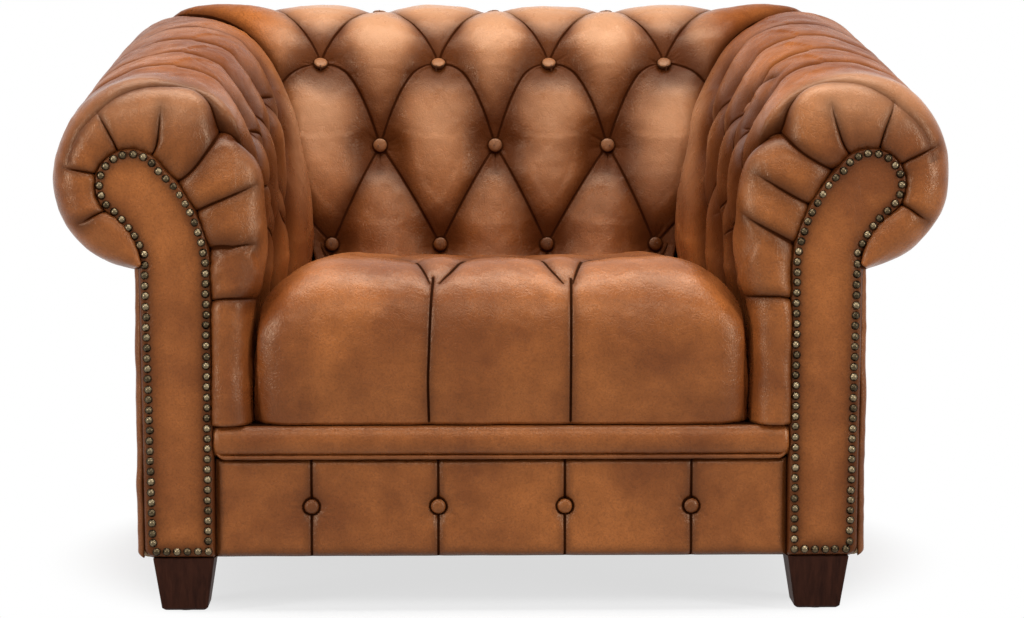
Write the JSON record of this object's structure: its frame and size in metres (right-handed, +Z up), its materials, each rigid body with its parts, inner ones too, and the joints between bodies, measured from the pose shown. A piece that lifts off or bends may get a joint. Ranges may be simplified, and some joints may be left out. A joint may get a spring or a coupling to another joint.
{
  "type": "armchair",
  "caption": "Low rolled-arm club chair in tan leather with a deep buttoned back and arms, a tight crowned seat, nail-trimmed scroll arm fronts and short square wooden legs.",
  "frame": {"origin": "on the floor under the middle of the chair's bounding box", "axes": "+Z up, front faces -Y, +X to the viewer's right when looking at the front"},
  "size_m": [1.192, 0.92, 0.796],
  "materials": {
    "tan_leather": "burnished full grain leather, lighter on the crowns and darker in the creases",
    "button_leather": "the same leather stretched over button moulds",
    "nail_brass": "antique brass, dark in the recesses",
    "leg_wood": "dark brown stain under satin lacquer",
    "glide_plastic": "moulded",
    "plated_steel": "zinc plated",
    "foam": "open cell polyurethane foam",
    "under_cloth": "woven jute and non-woven lining",
    "frame_timber": "kiln dried hardwood, sawn"
  },
  "bodies": {
    "root": {"apron_buttons": "button_leather", "arm_buttons_left": "button_leather", "arm_buttons_right": "button_leather", "arm_facing_left": "tan_leather", "arm_facing_right": "tan_leather", "arm_foam_core_left": "foam", "arm_foam_core_right": "foam", "arm_front_board_left": "frame_timber", "arm_front_board_right": "frame_timber", "arm_pad_left": "tan_leather", "arm_pad_right": "tan_leather", "arm_rear_board_left": "frame_timber", "arm_rear_board_right": "frame_timber", "arm_top_slat_left": "frame_timber", "arm_top_slat_right": "frame_timber", "arm_webbing_left": "under_cloth", "arm_webbing_right": "under_cloth", "back_buttons": "button_leather", "back_center_post": "frame_timber", "back_foam_core": "foam", "back_pad": "tan_leather", "back_post_left": "frame_timber", "back_post_right": "frame_timber", "back_rail": "frame_timber", "back_top_rail": "frame_timber", "back_tuft_twine": "under_cloth", "back_webbing": "under_cloth", "block_screws": "plated_steel", "burlap_deck": "under_cloth", "center_rail": "frame_timber", "corner_blocks": "frame_timber", "dust_cover": "under_cloth", "frame_dowels": "frame_timber", "front_apron": "tan_leather", "front_band": "tan_leather", "front_rail": "frame_timber", "front_welt": "tan_leather", "hanger_bolts": "plated_steel", "leg_front_left": "leg_wood", "leg_front_right": "leg_wood", "leg_glides": "glide_plastic", "leg_rear_left": "leg_wood", "leg_rear_right": "leg_wood", "nails_left": "nail_brass", "nails_right": "nail_brass", "outside_arm_left": "tan_leather", "outside_arm_right": "tan_leather", "outside_back": "tan_leather", "seat_buttons": "button_leather", "seat_cover": "tan_leather", "seat_foam_core": "foam", "seat_springs": "plated_steel", "side_rail_left": "frame_timber", "side_rail_right": "frame_timber", "spring_clips": "plated_steel", "spring_rail": "frame_timber", "tee_nuts": "plated_steel", "tie_wires": "plated_steel"}
  },
  "joints": []
}
